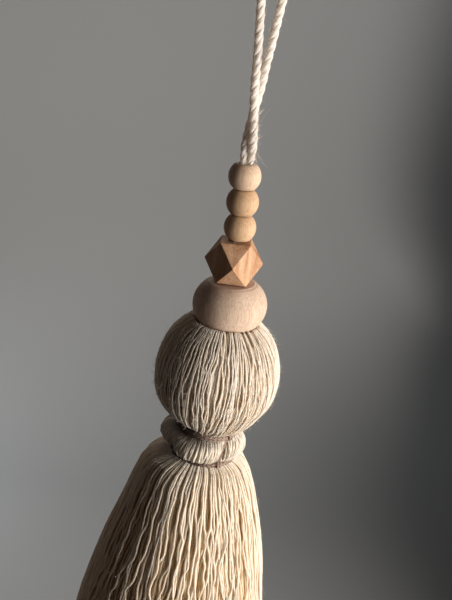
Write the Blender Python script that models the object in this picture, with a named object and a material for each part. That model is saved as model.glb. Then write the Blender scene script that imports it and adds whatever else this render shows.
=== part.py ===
"""A hanging curtain tassel of cotton yarn: a looped rope, five wooden beads, a tied yarn head and its skirt.

The part hangs. Its origin is the point inside the top of the rope loop where a hook bears. +Z is up and
-Y is the front. Sizes are in millimetres here and are scaled to metres when a mesh is made.
"""

import math

import bmesh
import bpy
import numpy as np
from mathutils import Matrix, Vector
from mathutils.geometry import delaunay_2d_cdt

MM = 0.001
SEAT_GAP = 0.3

# Looped rope of three strands. Its two legs cross once, then run side by side down the bores.
ROPE_R = 1.9
ROPE_VALLEY_R = 1.45
ROPE_STRANDS = 3
ROPE_LAY = 15.0
HOOK_R = 6.0
LOOP_DROP = 115.6
PART_DROP = 70.0
CROSS_LENGTH = 46.0
ENTRY_TAPER = 9.0
FREE_STEPS_PER_TURN = 8
BORE_STEP = 8.0
SQUEEZED_SHARE = 0.63
SOCKET_DEPTH = 4.6

# Beads: (name, shape, half height, centre's shift along X, lean in degrees, bore radius), from the top down.
BEADS = (
    ("bead_round_top", "round", 6.2, 0.0, -3.0, 3.5),
    ("bead_round_middle", "round", 6.2, 0.8, -3.0, 3.5),
    ("bead_round_lower", "round", 6.2, 1.4, -3.0, 3.5),
    ("bead_faceted", "faceted", 10.5, 0.9, -1.5, 4.0),
    ("bead_large", "large", 11.9, 2.2, -4.0, 4.0),
)
ROUND_R = 8.0
LARGE_R = 19.0
LARGE_ARC = 15.8
FACET_EDGE = 0.3
LEAN_ALLOWANCE = 0.4

# Yarn head: a ball that is dimpled under the large bead, then a neck of four lobes between two bindings.
HEAD_R = 32.4
HEAD_BELOW_BEAD = 25.2
# Rows of the ball: (degrees from its top, radius beyond a true ball's, shift along X, sag on the +X side).
BALL_ROWS = (
    (28.0, 1.8, 1.2, 0.0),
    (37.0, 1.6, 1.2, 0.0),
    (47.0, 1.1, 1.2, 0.0),
    (59.0, 0.5, 1.2, 0.0),
    (72.0, 0.0, 1.2, 0.0),
    (86.0, 0.0, 1.2, 0.0),
    (100.0, 0.4, 1.1, 0.0),
    (114.0, 1.3, 0.8, 0.0),
    (127.0, 1.3, 0.3, 0.0),
    (138.0, 1.4, -0.2, 0.8),
    (148.0, 2.6, -1.2, 1.8),
)
# Rows under the large bead, at its underside: (radius, shift along X, ridge depth).
DIMPLE_ROWS = (
    (12.4, 2.95, 0.1),
    (13.7, 2.8, 0.2),
    (15.4, 2.3, 0.3),
)
DIMPLE_GAP = 0.4
SOCKET_R = 3.6
YARN_RIDGES = 60
RIDGE_DEPTH = 0.6
NECK_R = 17.2
NECK_SHIFT = -1.4
NECK_BULGE = 6.9
NECK_LOPSIDED = 0.12
UPPER_TIE_DROP = 31.4
LOWER_TIE_DROP = 48.1
UPPER_TIE_HALF = 1.65
LOWER_TIE_HALF = 1.15
GROOVE_MARGIN = 0.4

# Binding thread: rings round the neck, and four upright stitches at (top, bottom) degrees from the front.
TIE_R = 17.6
THREAD_D = 1.15
UPRIGHTS = ((-78.0, -70.0), (49.0, 34.0), (122.0, 116.0), (202.0, 198.0))
UPRIGHT_CLEARANCE_DEG = 8.5

# Skirt: (drop below the lower binding, outer radius, shift along X), a row for each section.
SKIRT_SECTIONS = (
    (2.6, 23.0, -1.8),
    (8.0, 28.0, -2.8),
    (18.0, 32.5, -2.7),
    (32.0, 36.9, -2.6),
    (59.0, 44.5, -3.4),
    (87.0, 50.5, -4.5),
    (118.0, 55.2, -5.2),
    (152.0, 59.0, -5.8),
)
# Rings of locks from the outside in: (locks, sides, share of the skirt's radius, drops of the sections).
LOCK_RINGS = (
    (60, 4, 0.950, (8.0, 26.0, 59.0, 100.0)),
    (54, 3, 0.806, (12.0, 59.0)),
    (44, 3, 0.642, (40.0,)),
    (34, 3, 0.498, (40.0,)),
    (24, 3, 0.354, (40.0,)),
    (14, 3, 0.210, (40.0,)),
)
LOCK_HALF_THICKNESS = 0.047
LOCK_WIDTH_SHARE = 0.72
HEM_UNEVEN = 2.5

ROPE_COLOUR = (0.80, 0.76, 0.68)
YARN_COLOUR = (0.72, 0.62, 0.47)
THREAD_COLOUR = (0.33, 0.22, 0.16)
PALE_WOOD = (0.62, 0.43, 0.29)
WARM_WOOD = (0.55, 0.34, 0.20)


def material(name, colour, roughness):
    """A plain non-metal finish."""
    made = bpy.data.materials.new(name)
    made.use_nodes = True
    shader = made.node_tree.nodes["Principled BSDF"]
    shader.inputs["Base Color"].default_value = (*colour, 1.0)
    shader.inputs["Roughness"].default_value = roughness
    shader.inputs["Metallic"].default_value = 0.0
    return made


def place(name, bm, finish, smooth_deg=40.0):
    """Puts a bmesh in millimetres into the scene as one named object in metres."""
    bmesh.ops.recalc_face_normals(bm, faces=bm.faces)
    bmesh.ops.scale(bm, vec=(MM, MM, MM), verts=bm.verts)
    mesh = bpy.data.meshes.new(name)
    bm.to_mesh(mesh)
    bm.free()
    mesh.shade_smooth()
    mesh.set_sharp_from_angle(angle=math.radians(smooth_deg))
    mesh.materials.append(finish)
    obj = bpy.data.objects.new(name, mesh)
    bpy.context.scene.collection.objects.link(obj)
    return obj


def loop_of(bm, points):
    """New vertices at the points, as a closed loop."""
    return [bm.verts.new(p) for p in points]


def skin(bm, upper, lower):
    """Quads between two loops of the same length."""
    for i in range(len(upper)):
        j = (i + 1) % len(upper)
        bm.faces.new((upper[i], upper[j], lower[j], lower[i]))


def flat_with_holes(bm, outline, holes):
    """Triangles that fill a flat outline around its holes. All are loops of vertices in one plane."""
    verts = [v for loop in [outline, *holes] for v in loop]
    faces, start = [], 0
    for loop in [outline, *holes]:
        order = list(range(start, start + len(loop)))
        area = sum(a.co.x * b.co.y - b.co.x * a.co.y for a, b in zip(loop, loop[1:] + loop[:1]))
        faces.append(order if area > 0 else order[::-1])
        start += len(loop)
    flat = [Vector((v.co.x, v.co.y)) for v in verts]
    _, _, triangles, vert_from, _, face_from = delaunay_2d_cdt(flat, [], faces, 1, 1e-6)
    for triangle, sources in zip(triangles, face_from):
        if sources == [0]:
            bm.faces.new([verts[vert_from[i][0]] for i in triangle])


def spun(bm, profile, steps):
    """Turns a closed profile of (radius, height) points about Z into one closed ring."""
    verts = [bm.verts.new((r, 0.0, z)) for r, z in profile]
    edges = [bm.edges.new((verts[i], verts[(i + 1) % len(verts)])) for i in range(len(verts))]
    bmesh.ops.spin(
        bm, geom=verts + edges, cent=(0, 0, 0), axis=(0, 0, 1), angle=math.tau, steps=steps, use_merge=True
    )
    bmesh.ops.remove_doubles(bm, verts=bm.verts, dist=1e-5)


def bead_levels():
    """Centre heights of the beads. Each rests on the next, and the loop's drop sets the first one's top."""
    levels, top = [], -LOOP_DROP
    for i, (_, _, half, _, lean, _) in enumerate(BEADS):
        if i and lean != BEADS[i - 1][4]:
            top -= LEAN_ALLOWANCE
        levels.append(top - half)
        top -= 2 * half + SEAT_GAP
    return levels


LEVELS = bead_levels()
LARGE_SHIFT, LARGE_LEAN = BEADS[-1][3], math.radians(BEADS[-1][4])
LARGE_Z, LARGE_HALF = LEVELS[-1], BEADS[-1][2]
HEAD_Z = LARGE_Z - LARGE_HALF - HEAD_BELOW_BEAD
UPPER_TIE_Z = HEAD_Z - UPPER_TIE_DROP
LOWER_TIE_Z = HEAD_Z - LOWER_TIE_DROP
SOCKET_SHIFT = LARGE_SHIFT - LARGE_HALF * math.sin(LARGE_LEAN) * 0.35


def large_half_height(radius):
    """Half height of the large bead at a radius: an ellipsoid whose ends are cut flat."""
    return min(LARGE_HALF, LARGE_ARC * math.sqrt(max(0.0, 1 - (radius / LARGE_R) ** 2)))


def large_underside(x, y):
    """Height of the leaning large bead's underside at x, y, closed in on by turns in the bead's own frame."""
    sine, cosine = math.sin(LARGE_LEAN), math.cos(LARGE_LEAN)
    away, down = x - LARGE_SHIFT, -LARGE_HALF
    for _ in range(8):
        radius = math.hypot(cosine * away - sine * down, y)
        down = (-large_half_height(min(radius, LARGE_R)) - sine * away) / cosine
    return LARGE_Z + down


def round_bead(bore):
    """Profile of a turned ball with drilled, flattened ends."""
    half = BEADS[0][2]
    end = math.asin(half / ROUND_R)
    arc = [end * (1 - i / 3.5) for i in range(8)]
    outside = [(ROUND_R * math.cos(a), ROUND_R * math.sin(a)) for a in arc]
    return [(bore, half), *outside, (bore, -half)]


def large_bead(bore):
    """Profile of the cut ellipsoid, with its flat ends eased into the curve."""
    edge = math.acos(LARGE_HALF / LARGE_ARC)
    turns = [edge + (math.pi / 2 - edge) * share for share in (0.08, 0.24, 0.42, 0.6, 0.8, 1.0)]
    curve = [(LARGE_R * math.sin(t), LARGE_ARC * math.cos(t)) for t in turns]
    outer = [(LARGE_R * math.sin(edge) - 1.0, LARGE_HALF), *curve]
    mirrored = [(r, -z) for r, z in reversed(outer[:-1])]
    return [(bore, LARGE_HALF), *outer, *mirrored, (bore, -LARGE_HALF)]


def faceted_bead(bm, half, bore):
    """A cube with its eight corners cut off at the middle of each edge, drilled through two square faces."""
    corners = [
        (half * a, half * b, half * c)
        for a in (-1, 0, 1)
        for b in (-1, 0, 1)
        for c in (-1, 0, 1)
        if abs(a) + abs(b) + abs(c) == 2
    ]
    verts = [bm.verts.new(c) for c in corners]
    bmesh.ops.convex_hull(bm, input=verts)
    bmesh.ops.dissolve_limit(bm, angle_limit=math.radians(2), verts=bm.verts, edges=bm.edges)
    bmesh.ops.bevel(bm, geom=bm.edges[:], offset=FACET_EDGE, segments=1, affect="EDGES")
    bmesh.ops.rotate(bm, verts=bm.verts, cent=(0, 0, 0), matrix=Matrix.Rotation(math.radians(45), 3, "Z"))
    drill = bmesh.new()
    bmesh.ops.create_cone(
        drill, cap_ends=True, segments=24, radius1=bore, radius2=bore, depth=2 * half + 4
    )
    return drill


def set_bead(obj, index):
    """Leans a bead and threads it at its place."""
    _, _, _, shift, lean, _ = BEADS[index]
    obj.location = (shift * MM, 0.0, LEVELS[index] * MM)
    obj.rotation_euler = (0.0, math.radians(lean), 0.0)


def make_beads():
    pale = material("pale_wood", PALE_WOOD, 0.55)
    warm = material("warm_wood", WARM_WOOD, 0.5)
    for index, (name, shape, half, _, _, bore) in enumerate(BEADS):
        bm = bmesh.new()
        if shape == "faceted":
            drill = faceted_bead(bm, half, bore)
            bead = place(name, bm, warm, 20.0)
            cutter = place(name + "_drill", drill, warm)
            cutter.parent = bead
            cutter.hide_render = True
            cutter.display_type = "WIRE"
            cut = bead.modifiers.new("bore", "BOOLEAN")
            cut.operation = "DIFFERENCE"
            cut.object = cutter
        else:
            profile, steps = (round_bead(bore), 24) if shape == "round" else (large_bead(bore), 32)
            spun(bm, profile, steps)
            bead = place(name, bm, pale, 50.0)
        set_bead(bead, index)


def rope_line_x(z):
    """Where the middle of the two legs runs, along X: straight above the beads, then along their bores."""
    shifts = [0.0, 0.0, -0.4, -0.1, 0.1, 0.85, 1.4, 1.4, 2.3, SOCKET_SHIFT]
    heights = [0.0, -60.0, -90.0, -LOOP_DROP, *LEVELS, LEVELS[-1] - LARGE_HALF - SOCKET_DEPTH]
    return float(np.interp(-z, [-h for h in heights], shifts))


def rope_squeeze(z):
    """Share of its full thickness that a leg has: 1 where it is free, less in the bores."""
    free = np.clip((z + LOOP_DROP) / ENTRY_TAPER, 0.0, 1.0)
    inside = np.clip((-z - LOOP_DROP) / 4.0, 0.0, 1.0)
    return float(0.74 + 0.26 * free - (0.74 - SQUEEZED_SHARE) * inside)


def rope_leg(side, z):
    """A leg's centre at a height: side is 1 for the leg on the right at the top, which crosses behind."""
    bend_r = HOOK_R + ROPE_R
    spread_top = -bend_r
    touching = ROPE_R + SEAT_GAP / 2
    half = touching * (rope_squeeze(z) * 1.06 if z < -LOOP_DROP + ENTRY_TAPER else 1.0)
    if z > -PART_DROP:
        half += (bend_r - touching) * (z + PART_DROP) / (spread_top + PART_DROP)
    turn = math.pi * min(1.0, max(0.0, (-z - PART_DROP + 2.0) / CROSS_LENGTH))
    return Vector((rope_line_x(z) + side * half * math.cos(turn), side * half * math.sin(turn), z))


def rope_route():
    """The rope's centre line: up one leg, round the hook, and down the other."""
    bend_r = HOOK_R + ROPE_R
    step = ROPE_LAY / FREE_STEPS_PER_TURN
    end_z = LARGE_Z - LARGE_HALF - SOCKET_DEPTH
    bores = list(np.linspace(end_z, -LOOP_DROP, round((-LOOP_DROP - end_z) / BORE_STEP)))
    free = list(np.linspace(-LOOP_DROP, -bend_r, round((LOOP_DROP - bend_r) / step)))
    heights = bores + free[1:]
    left = [rope_leg(-1, z) for z in heights]
    right = [rope_leg(1, z) for z in reversed(heights)]
    centre_z = ROPE_R - bend_r
    count = round(math.pi * bend_r / step)
    turns = [math.pi * i / count for i in range(count + 1)]
    bend = [Vector((-bend_r * math.cos(t), 0.0, centre_z + bend_r * math.sin(t))) for t in turns]
    return left + bend + right


def make_rope():
    """A tube of three raised strands, whose crests turn once in each lay."""
    route = rope_route()
    bm = bmesh.new()
    travelled, loops = 0.0, []
    for i, point in enumerate(route):
        ahead = route[min(i + 1, len(route) - 1)]
        behind = route[max(i - 1, 0)]
        along = (ahead - behind).normalized()
        side = (Vector((0, 1, 0)) - along * along.y).normalized()
        other = along.cross(side)
        if i:
            travelled += (point - route[i - 1]).length
        squeeze = rope_squeeze(point.z)
        points = []
        for k in range(2 * ROPE_STRANDS):
            angle = math.tau * (travelled / ROPE_LAY + k / (2 * ROPE_STRANDS))
            radius = squeeze * (ROPE_VALLEY_R if k % 2 else ROPE_R)
            points.append(point + radius * (math.cos(angle) * side + math.sin(angle) * other))
        loops.append(loop_of(bm, points))
    for before, after in zip(loops, loops[1:]):
        skin(bm, before, after)
    bm.faces.new(loops[0])
    bm.faces.new(loops[-1])
    return place("hanging_cord", bm, material("cotton_rope", ROPE_COLOUR, 0.9), 60.0)


def neck_lobe(angle, fall):
    """0 in the groove of an upright stitch, rising to 1 between two. fall is 0 at the upper ring, 1 at the lower."""
    grooves = sorted((top + (bottom - top) * fall) % 360 for top, bottom in UPRIGHTS)
    degrees = math.degrees(angle) % 360
    after = next((g for g in grooves if g > degrees), grooves[0] + 360)
    before = max((g for g in grooves if g <= degrees), default=grooves[-1] - 360)
    clear = UPRIGHT_CLEARANCE_DEG
    share = (degrees - before - clear) / (after - before - 2 * clear)
    return math.sin(math.pi * min(1.0, max(0.0, share))) ** 0.6


def yarn_rows():
    """Rows of the head and neck from the dimple down: (height, radius, shift, ridge depth, sag, lobe share)."""
    rows = [(0.0, radius, shift, depth, 0.0, 0.0) for radius, shift, depth in DIMPLE_ROWS]
    for degrees, fuller, shift, sag in BALL_ROWS:
        height = HEAD_Z + HEAD_R * math.cos(math.radians(degrees))
        radius = HEAD_R * math.sin(math.radians(degrees)) + fuller
        depth = RIDGE_DEPTH * (1.0 if 40 < degrees < 140 else 0.6)
        rows.append((height, radius, shift, depth, sag, 0.0))
    upper, lower = UPPER_TIE_HALF + GROOVE_MARGIN, LOWER_TIE_HALF + GROOVE_MARGIN
    top, bottom = UPPER_TIE_Z - upper, LOWER_TIE_Z + lower
    rows.append((UPPER_TIE_Z + upper, NECK_R, NECK_SHIFT, 0.0, 0.0, 0.0))
    rows.append((top, NECK_R, NECK_SHIFT, 0.0, 0.0, 0.0))
    for share in (0.2, 0.5, 0.8):
        lobe = math.sin(math.pi * share) ** 0.5
        rows.append((top + (bottom - top) * share, NECK_R, NECK_SHIFT, 0.35, 0.0, lobe))
    rows.append((bottom, NECK_R, NECK_SHIFT, 0.0, 0.0, 0.0))
    rows.append((LOWER_TIE_Z - lower, NECK_R, NECK_SHIFT, 0.0, 0.0, 0.0))
    drop, radius, shift = SKIRT_SECTIONS[0]
    rows.append((LOWER_TIE_Z - drop, radius, shift, 0.4, 0.0, 0.0))
    return rows


def around(angle, radius, shift):
    """x, y of a point at an angle from the front, towards +X."""
    return shift + radius * math.sin(angle), -radius * math.cos(angle)


def yarn_row_points(row):
    """The points round one row of the head, with a crest and a valley for each ridge of yarn."""
    height, radius, shift, depth, sag, lobe = row
    points = []
    for k in range(2 * YARN_RIDGES):
        angle = math.tau * k / (2 * YARN_RIDGES)
        r = radius + sag * max(0.0, math.sin(angle)) - (depth if k % 2 else 0.0)
        if lobe:
            fall = (UPPER_TIE_Z - height) / (UPPER_TIE_Z - LOWER_TIE_Z)
            share = neck_lobe(angle, fall)
            bulge = NECK_BULGE * (1 - NECK_LOPSIDED * math.sin(angle))
            r = radius + bulge * lobe * share - (depth * share if k % 2 else 0.0)
        x, y = around(angle, r, shift)
        under_bead = large_underside(x, y) - DIMPLE_GAP
        z = min(height, under_bead) if height else under_bead
        points.append((x, y, z))
    return points


def skirt_at(drop):
    """(outer radius, shift) of the skirt at a drop below the lower binding."""
    drops, radii, shifts = zip(*SKIRT_SECTIONS)
    return float(np.interp(drop, drops, radii)), float(np.interp(drop, drops, shifts))


def lock_section(ring, index, drop):
    """The corners of one lock at one level: a kite in the outer ring, and a ridged triangle inside it."""
    count, sides, share, _ = LOCK_RINGS[ring]
    outer, shift = skirt_at(drop)
    fall = (drop - SKIRT_SECTIONS[0][0]) / (SKIRT_SECTIONS[-1][0] - SKIRT_SECTIONS[0][0])
    base = math.tau * (index + 0.5 * (ring % 2)) / count
    angle = base + fall * (0.045 * math.sin(2 * base + 1.0) + 0.02 * math.sin(5 * base + 2.0))
    angle += 0.012 * math.sqrt(fall) * math.sin(math.tau * drop / 70 + 3 * base)
    uneven = 1 + fall * (0.016 * math.sin(3 * base + 0.5) + 0.01 * math.sin(7 * base + 1.7))
    radius = outer * uneven * share
    half_t = outer * LOCK_HALF_THICKNESS
    half_w = LOCK_WIDTH_SHARE * math.pi * radius / count
    if sides == 4:
        local = ((-half_w, 0.0), (0.0, -half_t), (half_w, 0.0), (0.0, half_t))
    else:
        local = ((-half_w, -half_t), (half_w, -half_t), (0.0, half_t))
    return [around(angle + across / radius, radius + out, shift) for across, out in local]


def make_yarn():
    """The head, the neck and the skirt: one body of yarn, whose locks hang free below the lower binding."""
    bm = bmesh.new()
    rows = yarn_rows()
    loops = [loop_of(bm, yarn_row_points(row)) for row in rows]
    for upper, lower in zip(loops, loops[1:]):
        skin(bm, upper, lower)
    mouth = [around(math.tau * k / 24, SOCKET_R, SOCKET_SHIFT) for k in range(24)]
    socket_floor = LARGE_Z - LARGE_HALF - SOCKET_DEPTH - 2 * SEAT_GAP
    socket = [
        loop_of(bm, [(x, y, large_underside(x, y) - DIMPLE_GAP) for x, y in mouth]),
        loop_of(bm, [(x, y, socket_floor) for x, y in mouth]),
    ]
    skin(bm, socket[0], socket[1])
    bm.faces.new(socket[1])
    flat_with_holes(bm, loops[0], [socket[0]])

    unsteady = np.random.default_rng(11)
    roots = []
    for ring, (count, _, _, drops) in enumerate(LOCK_RINGS):
        for index in range(count):
            tip = SKIRT_SECTIONS[-1][0] - abs(float(unsteady.normal(0.0, HEM_UNEVEN / 2)))
            levels = [SKIRT_SECTIONS[0][0], *drops, max(tip, SKIRT_SECTIONS[-1][0] - 2 * HEM_UNEVEN)]
            lock = [
                loop_of(bm, [(x, y, LOWER_TIE_Z - drop) for x, y in lock_section(ring, index, drop)])
                for drop in levels
            ]
            for upper, lower in zip(lock, lock[1:]):
                skin(bm, upper, lower)
            bm.faces.new(lock[-1])
            roots.append(lock[0])
    flat_with_holes(bm, loops[-1], roots)
    return place("tassel_yarn", bm, material("cotton_yarn", YARN_COLOUR, 0.9), 30.0)


def tie_profile(half, strands):
    """Profile of a ring of thread: flat inside, a bump for each turn of thread outside."""
    crest, dip = TIE_R + THREAD_D, TIE_R + 0.7 * THREAD_D
    pitch = 2 * half / strands
    bumps = [(dip, half)]
    for i in range(strands):
        bumps += [(crest, half - pitch * (i + 0.5)), (dip, half - pitch * (i + 1))]
    return [(TIE_R, half), *bumps, (TIE_R, -half)]


def upright(bm, top_deg, bottom_deg):
    """A stitch of two turns of thread that runs down a groove from one ring to the other."""
    high, low = UPPER_TIE_Z - UPPER_TIE_HALF * 0.4, LOWER_TIE_Z + LOWER_TIE_HALF * 0.4
    inner, dip, crest = TIE_R + 0.12, TIE_R + 0.75, TIE_R + 1.15
    across = ((-1.2, inner), (-1.2, dip), (-0.6, crest), (0.0, dip), (0.6, crest), (1.2, dip), (1.2, inner))
    loops = []
    for i in range(4):
        share = i / 3
        angle = math.radians(top_deg + (bottom_deg - top_deg) * share)
        z = high + (low - high) * share
        loops.append(loop_of(bm, [(*around(angle + a / TIE_R, r, NECK_SHIFT), z) for a, r in across]))
    for upper, lower in zip(loops, loops[1:]):
        skin(bm, upper, lower)
    bm.faces.new(loops[0])
    bm.faces.new(loops[-1])


def make_binding():
    """The binding thread: one cage of two rings and four uprights, joined where each upright meets a ring."""
    finish = material("binding_thread", THREAD_COLOUR, 0.7)
    bm = bmesh.new()
    spun(bm, tie_profile(UPPER_TIE_HALF, 3), 32)
    bmesh.ops.translate(bm, verts=bm.verts, vec=(NECK_SHIFT, 0, UPPER_TIE_Z))
    binding = place("neck_binding", bm, finish, 30.0)
    bm = bmesh.new()
    spun(bm, tie_profile(LOWER_TIE_HALF, 2), 32)
    bmesh.ops.translate(bm, verts=bm.verts, vec=(NECK_SHIFT, 0, LOWER_TIE_Z))
    joined = [place("binding_lower_ring", bm, finish)]
    for number, (top_deg, bottom_deg) in enumerate(UPRIGHTS):
        bm = bmesh.new()
        upright(bm, top_deg, bottom_deg)
        joined.append(place(f"binding_upright_{number + 1}", bm, finish))
    for piece in joined:
        piece.hide_render = True
        piece.display_type = "WIRE"
        join = binding.modifiers.new(piece.name, "BOOLEAN")
        join.operation = "UNION"
        join.object = piece
    return binding


def main():
    for obj in list(bpy.data.objects):
        bpy.data.objects.remove(obj)
    make_rope()
    make_beads()
    make_yarn()
    make_binding()


main()
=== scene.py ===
"""A hanging curtain tassel: cotton yarn tied into a ball head and a skirt, on a looped rope with five beads.

Sizes are in millimetres here and become metres when a mesh is made. The origin is the point inside the top
of the rope's loop, +Z is up and -Y is the front.
"""

import math

import bpy
import numpy as np
from mathutils import Matrix, Vector


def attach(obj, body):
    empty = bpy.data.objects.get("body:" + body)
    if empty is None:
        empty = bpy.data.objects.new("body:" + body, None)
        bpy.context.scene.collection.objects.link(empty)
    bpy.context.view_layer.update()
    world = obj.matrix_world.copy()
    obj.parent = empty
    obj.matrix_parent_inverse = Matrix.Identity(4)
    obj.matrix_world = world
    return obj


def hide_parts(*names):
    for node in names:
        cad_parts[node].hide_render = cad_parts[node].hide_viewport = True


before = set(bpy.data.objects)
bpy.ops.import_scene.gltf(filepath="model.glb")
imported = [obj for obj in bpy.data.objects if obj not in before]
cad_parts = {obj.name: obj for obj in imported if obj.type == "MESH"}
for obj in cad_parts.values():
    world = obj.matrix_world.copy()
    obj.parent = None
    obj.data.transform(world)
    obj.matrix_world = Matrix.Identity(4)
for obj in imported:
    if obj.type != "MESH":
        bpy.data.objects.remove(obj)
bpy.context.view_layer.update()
scene = bpy.context.scene

# Camera. It looks down on the tassel from arm's length, a little tilted, with the top of the loop and the
# skirt's hem outside the view.
CAMERA_PLACE = Vector((0.0, -0.3946, -0.0392))
CAMERA_DOWN = math.radians(20.4)
CAMERA_ROLL = math.radians(8.65)
CAMERA_LENS = 49.8
SENSOR_WIDTH = 36.0

ahead = Vector((0.0, math.cos(CAMERA_DOWN), -math.sin(CAMERA_DOWN)))
above = Vector((0.0, math.sin(CAMERA_DOWN), math.cos(CAMERA_DOWN)))
right = Vector((1.0, 0.0, 0.0))
rolled_right = right * math.cos(CAMERA_ROLL) + above * math.sin(CAMERA_ROLL)
rolled_up = above * math.cos(CAMERA_ROLL) - right * math.sin(CAMERA_ROLL)
camera = bpy.data.objects.new("camera", bpy.data.cameras.new("camera"))
camera.data.lens = CAMERA_LENS
camera.data.sensor_width = SENSOR_WIDTH
camera.matrix_world = Matrix.Translation(CAMERA_PLACE) @ Matrix(
    (rolled_right, rolled_up, -ahead)
).transposed().to_4x4()
scene.collection.objects.link(camera)
scene.camera = camera

# Rope. One length of three-strand cotton is doubled into the hanging loop, goes down all the beads side by
# side with itself, and is sewn into the head. Each strand is many soft yarns laid up together.
ROPE_R = 1.9
ROPE_LAY = 15.0
ROPE_STRANDS = 3
STRAND_R = 1.28
STRAND_AWAY = 0.9
STRAND_YARNS = 7
YARN_LAY = 13.0
BEND_R = 7.9
LEG_APART = 2.0
LOOP_DROP = 115.6
PART_DROP = 70.0
CROSS_LENGTH = 46.0
ENTRY_TAPER = 9.0
ROPE_END = 204.2
LINE_DROPS = (0.0, 60.0, 90.0, LOOP_DROP, 121.8, 134.5, 147.2, 164.6, 187.7, ROPE_END)
LINE_SHIFTS = (0.0, 0.0, -0.4, -0.1, 0.1, 0.85, 1.4, 1.4, 2.3, 2.49)


def columns(*values):
    """Values side by side along a new last axis: the x, y and z of points, or the corners of faces."""
    return np.stack(values, axis=-1)


def unit(vectors):
    """Each vector divided by its own length."""
    return vectors / np.linalg.norm(vectors, axis=-1, keepdims=True)


def thickness_share(z):
    """Share of its free thickness that the rope has at a height: it is pressed together in the bores."""
    free = np.clip((z + LOOP_DROP) / ENTRY_TAPER, 0.0, 1.0)
    inside = np.clip((-z - LOOP_DROP) / 4.0, 0.0, 1.0)
    return 0.74 + 0.26 * free - 0.11 * inside


def leg_line(side, z):
    """Centre of a leg at heights z. side is 1 for the leg on the right at the top, which crosses behind.

    The two legs are opposite points of a circle round the middle line. It is wide at the hook, as wide as
    the rope from where they meet, and turns by half a turn where they cross.
    """
    apart = LEG_APART * np.where(z < -LOOP_DROP + ENTRY_TAPER, 1.06 * thickness_share(z), 1.0)
    spread = (BEND_R - LEG_APART) * (z + PART_DROP) / (PART_DROP - BEND_R)
    apart = apart + np.where(z > -PART_DROP, spread, 0.0)
    turn = math.pi * np.clip((-z - PART_DROP + 2.0) / CROSS_LENGTH, 0.0, 1.0)
    middle = np.interp(-z, LINE_DROPS, LINE_SHIFTS)
    return columns(middle + side * apart * np.cos(turn), side * apart * np.sin(turn), z)


def rope_line(step):
    """The rope's centre line with a point every step: up one leg, round the hook, and down the other."""
    heights = np.linspace(-ROPE_END, -BEND_R, 700)
    turns = np.linspace(0.0, math.pi, 60)[1:-1]
    zero = np.zeros_like(turns)
    top = columns(-BEND_R * np.cos(turns), zero, ROPE_R - BEND_R + BEND_R * np.sin(turns))
    line = np.concatenate((leg_line(-1, heights), top, leg_line(1, heights[::-1])))
    travelled = np.concatenate(([0.0], np.cumsum(np.linalg.norm(np.diff(line, axis=0), axis=1))))
    even = np.linspace(0.0, travelled[-1], round(travelled[-1] / step) + 1)
    return np.stack([np.interp(even, travelled, line[:, axis]) for axis in range(3)], axis=-1), even


def mesh_of(name, points, faces, face_uvs=None, tone=None):
    """A smooth mesh from points in millimetres, arrays of faces by their number of corners, and their UVs.

    The UVs are all zero where none are given.
    """
    if face_uvs is None:
        face_uvs = [np.zeros((*group.shape, 2)) for group in faces]
    mesh = bpy.data.meshes.new(name)
    mesh.vertices.add(len(points))
    mesh.vertices.foreach_set("co", (points * 0.001).astype(np.float32).ravel())
    corners = np.concatenate([group.ravel() for group in faces]).astype(np.int32)
    sizes = np.concatenate([np.full(len(group), group.shape[1]) for group in faces])
    mesh.loops.add(len(corners))
    mesh.loops.foreach_set("vertex_index", corners)
    mesh.polygons.add(len(sizes))
    starts = np.concatenate(([0], np.cumsum(sizes)[:-1])).astype(np.int32)
    mesh.polygons.foreach_set("loop_start", starts)
    mesh.polygons.foreach_set("use_smooth", np.ones(len(sizes), dtype=bool))
    mesh.update(calc_edges=True)
    layer = mesh.uv_layers.new(name="UVMap")
    flat_uvs = np.concatenate([group.reshape(-1, 2) for group in face_uvs]).astype(np.float32)
    layer.data.foreach_set("uv", flat_uvs.ravel())
    if tone is not None:
        mesh.attributes.new("tone", "FLOAT", "POINT").data.foreach_set("value", tone.astype(np.float32))
    mesh.validate()
    return mesh


def put(mesh, finishes, slot, *nodes):
    """Puts a finished mesh into the scene as a piece on the one body, in place of its CAD nodes."""
    piece = bpy.data.objects.new(mesh.name, mesh)
    for finish in finishes:
        mesh.materials.append(finish)
    scene.collection.objects.link(piece)
    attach(piece, "root")
    if nodes:
        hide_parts(*nodes)
    return piece


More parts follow.
